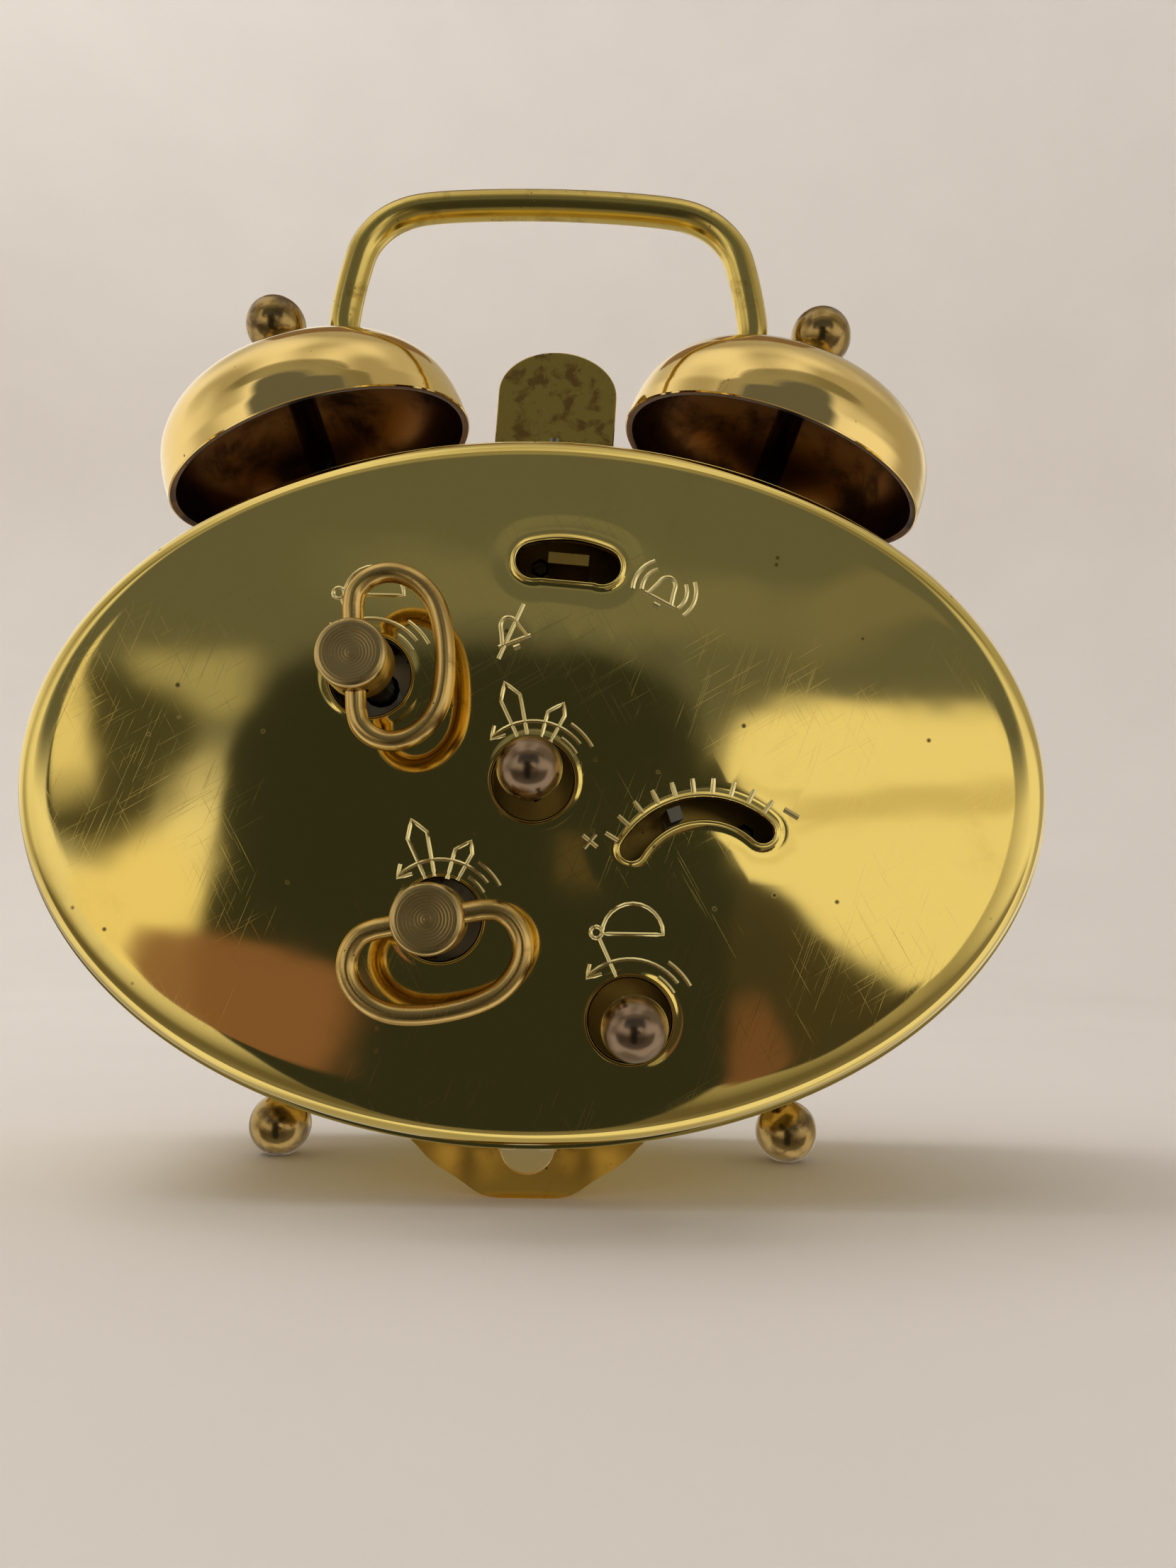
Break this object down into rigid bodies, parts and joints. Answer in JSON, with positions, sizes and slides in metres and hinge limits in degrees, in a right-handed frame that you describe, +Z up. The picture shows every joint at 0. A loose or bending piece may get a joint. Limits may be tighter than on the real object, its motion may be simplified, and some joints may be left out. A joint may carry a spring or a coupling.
{
  "type": "twin-bell travel alarm clock",
  "caption": "Oval brass wind-up alarm clock with two outside bells and a hammer, a carrying handle, folding winding keys, setting knobs and ball feet.",
  "frame": {"origin": "on the surface that the clock stands on, under the middle of its box", "axes": "+Z up, the dial faces -Y and the back cover faces +Y, +X to the right as the dial is read"},
  "size_m": [0.0936, 0.0472, 0.1019],
  "materials": {
    "case_brass": "polished and lacquered sheet brass, worn",
    "bell_brass": "polished spun brass",
    "worn_brass": "tarnished brass",
    "movement_brass": "stamped brass, dull",
    "plated_steel": "nickel-plated steel",
    "dark_steel": "blued or blackened steel",
    "black_steel": "black enamelled hands",
    "dial_enamel": "cream printed dial",
    "clear_glass": "domed clear glass"
  },
  "bodies": {
    "case": {"case_drum": "case_brass", "back_cover": "case_brass", "front_bezel": "case_brass", "crystal": "clear_glass", "dial": "dial_enamel", "ball_foot_left": "case_brass", "ball_foot_right": "case_brass", "rear_foot": "case_brass", "bell_left": "bell_brass", "bell_right": "bell_brass", "bell_post_left": "dark_steel", "bell_post_right": "dark_steel", "bell_post_nut_left": "plated_steel", "bell_post_nut_right": "plated_steel", "finial_left": "case_brass", "finial_right": "case_brass", "handle": "worn_brass", "movement_front_plate": "movement_brass", "movement_rear_plate": "movement_brass", "pillar_nut_1": "plated_steel", "pillar_nut_2": "plated_steel", "pillar_nut_3": "plated_steel", "pillar_nut_4": "plated_steel", "time_mainspring": "dark_steel", "alarm_mainspring": "dark_steel", "hairspring": "plated_steel"},
    "time_key": {"time_winding_arbor": "plated_steel", "time_ratchet": "plated_steel", "time_key_stud": "case_brass"},
    "time_bail": {"time_key_bail": "case_brass"},
    "alarm_key": {"alarm_winding_arbor": "plated_steel", "alarm_ratchet": "plated_steel", "alarm_key_stud": "case_brass"},
    "alarm_bail": {"alarm_key_bail": "case_brass"},
    "time_click": {"time_click": "plated_steel"},
    "alarm_click": {"alarm_click": "plated_steel"},
    "time_setting": {"centre_arbor": "plated_steel", "time_set_knob": "plated_steel", "minute_hand": "black_steel"},
    "motion_wheel": {"minute_wheel": "movement_brass"},
    "hour_setting": {"hour_wheel": "movement_brass", "hour_hand": "black_steel"},
    "alarm_setting": {"alarm_setting_arbor": "plated_steel", "alarm_set_knob": "plated_steel"},
    "alarm_indicator": {"alarm_wheel": "movement_brass", "alarm_hand": "dark_steel"},
    "stop_lever": {"alarm_stop_lever": "worn_brass"},
    "regulator": {"regulator": "plated_steel"},
    "striker": {"hammer": "worn_brass", "hammer_arbor": "plated_steel"},
    "third": {"third_wheel": "movement_brass"},
    "centre": {"centre_wheel": "movement_brass"},
    "great": {"time_great_wheel": "movement_brass"},
    "fourth": {"fourth_wheel": "movement_brass"},
    "escape": {"escape_wheel": "plated_steel"},
    "pallets": {"pallet_lever": "plated_steel"},
    "balance": {"balance_wheel": "case_brass"},
    "alarm_great": {"alarm_great_wheel": "movement_brass"},
    "alarm_escape": {"alarm_escape_wheel": "plated_steel"}
  },
  "joints": [
    {"name": "time_key_turn", "type": "hinge", "parent": "case", "child": "time_key", "pos_m": [0.0077, 0, 0.02375], "axis": [0, -1, 0], "range_deg": [0, 1980]},
    {"name": "time_bail_fold", "type": "hinge", "parent": "time_key", "child": "time_bail", "pos_m": [0.0077, 0.01997, 0.02375], "axis": [0.9816, 0, -0.1908], "range_deg": [-50, 230]},
    {"name": "alarm_key_turn", "type": "hinge", "parent": "case", "child": "alarm_key", "pos_m": [0.0144, 0, 0.0447], "axis": [0, -1, 0], "range_deg": [0, 1980]},
    {"name": "alarm_bail_fold", "type": "hinge", "parent": "alarm_key", "child": "alarm_bail", "pos_m": [0.0144, 0.01997, 0.0447], "axis": [-0.0698, 0, -0.9976], "range_deg": [-50, 230]},
    {"name": "time_click_lift", "type": "hinge", "parent": "case", "child": "time_click", "pos_m": [0.01368, 0, 0.02096], "axis": [0, 1, 0], "range_deg": [0, 12]},
    {"name": "alarm_click_lift", "type": "hinge", "parent": "case", "child": "alarm_click", "pos_m": [0.02038, 0, 0.04749], "axis": [0, 1, 0], "range_deg": [-12, 0]},
    {"name": "time_set_turn", "type": "hinge", "parent": "case", "child": "time_setting", "pos_m": [0, 0, 0.03585], "axis": [0, 1, 0], "continuous": true},
    {"name": "motion_wheel_turn", "type": "hinge", "parent": "case", "child": "motion_wheel", "pos_m": [0.0036, 0, 0.04209], "axis": [0, 1, 0], "continuous": true},
    {"name": "hour_hand_turn", "type": "hinge", "parent": "case", "child": "hour_setting", "pos_m": [0, 0, 0.03585], "axis": [0, 1, 0], "continuous": true},
    {"name": "alarm_set_turn", "type": "hinge", "parent": "case", "child": "alarm_setting", "pos_m": [-0.0086, 0, 0.01555], "axis": [0, 1, 0], "continuous": true},
    {"name": "alarm_hand_turn", "type": "hinge", "parent": "case", "child": "alarm_indicator", "pos_m": [0, 0, 0.03585], "axis": [0, 1, 0], "continuous": true},
    {"name": "stop_lever_swing", "type": "hinge", "parent": "case", "child": "stop_lever", "pos_m": [-0.00205, 0, 0.04635], "axis": [0, 1, 0], "range_deg": [-15, 15]},
    {"name": "regulator_swing", "type": "hinge", "parent": "case", "child": "regulator", "pos_m": [-0.0149, 0, 0.02625], "axis": [0, 1, 0], "range_deg": [-54, 30]},
    {"name": "hammer_swing", "type": "hinge", "parent": "case", "child": "striker", "pos_m": [0, 0, 0.05685], "axis": [0, 1, 0], "range_deg": [-2, 7.5]},
    {"name": "third_wheel_turn", "type": "hinge", "parent": "case", "child": "third", "pos_m": [-0.00824, 0, 0.04061], "axis": [0, 1, 0], "continuous": true},
    {"name": "centre_wheel_turn", "type": "hinge", "parent": "case", "child": "centre", "pos_m": [0, 0, 0.03585], "axis": [0, 1, 0], "continuous": true},
    {"name": "time_great_turn", "type": "hinge", "parent": "case", "child": "great", "pos_m": [0.0077, 0, 0.02375], "axis": [0, 1, 0], "continuous": true},
    {"name": "fourth_wheel_turn", "type": "hinge", "parent": "case", "child": "fourth", "pos_m": [-0.01614, 0, 0.03774], "axis": [0, 1, 0], "continuous": true},
    {"name": "escape_wheel_turn", "type": "hinge", "parent": "case", "child": "escape", "pos_m": [-0.02273, 0, 0.03641], "axis": [0, 1, 0], "continuous": true},
    {"name": "pallet_swing", "type": "hinge", "parent": "case", "child": "pallets", "pos_m": [-0.01929, 0, 0.03195], "axis": [0, 1, 0], "range_deg": [-4, 4]},
    {"name": "balance_swing", "type": "hinge", "parent": "case", "child": "balance", "pos_m": [-0.0149, 0, 0.02625], "axis": [0, 1, 0], "range_deg": [-135, 135]},
    {"name": "alarm_great_turn", "type": "hinge", "parent": "case", "child": "alarm_great", "pos_m": [0.0144, 0, 0.0447], "axis": [0, 1, 0], "continuous": true},
    {"name": "alarm_escape_turn", "type": "hinge", "parent": "case", "child": "alarm_escape", "pos_m": [0.009, 0, 0.05635], "axis": [0, 1, 0], "continuous": true}
  ],
  "couplings": [
    {"joint": "motion_wheel_turn", "follows": "time_set_turn", "ratio": -0.33333},
    {"joint": "hour_hand_turn", "follows": "time_set_turn", "ratio": 0.083333},
    {"joint": "alarm_hand_turn", "follows": "alarm_set_turn", "ratio": -0.33333},
    {"joint": "centre_wheel_turn", "follows": "third_wheel_turn", "ratio": -0.2},
    {"joint": "time_great_turn", "follows": "third_wheel_turn", "ratio": 0.04375},
    {"joint": "fourth_wheel_turn", "follows": "third_wheel_turn", "ratio": -5},
    {"joint": "escape_wheel_turn", "follows": "third_wheel_turn", "ratio": 20},
    {"joint": "alarm_escape_turn", "follows": "alarm_great_turn", "ratio": -4}
  ]
}
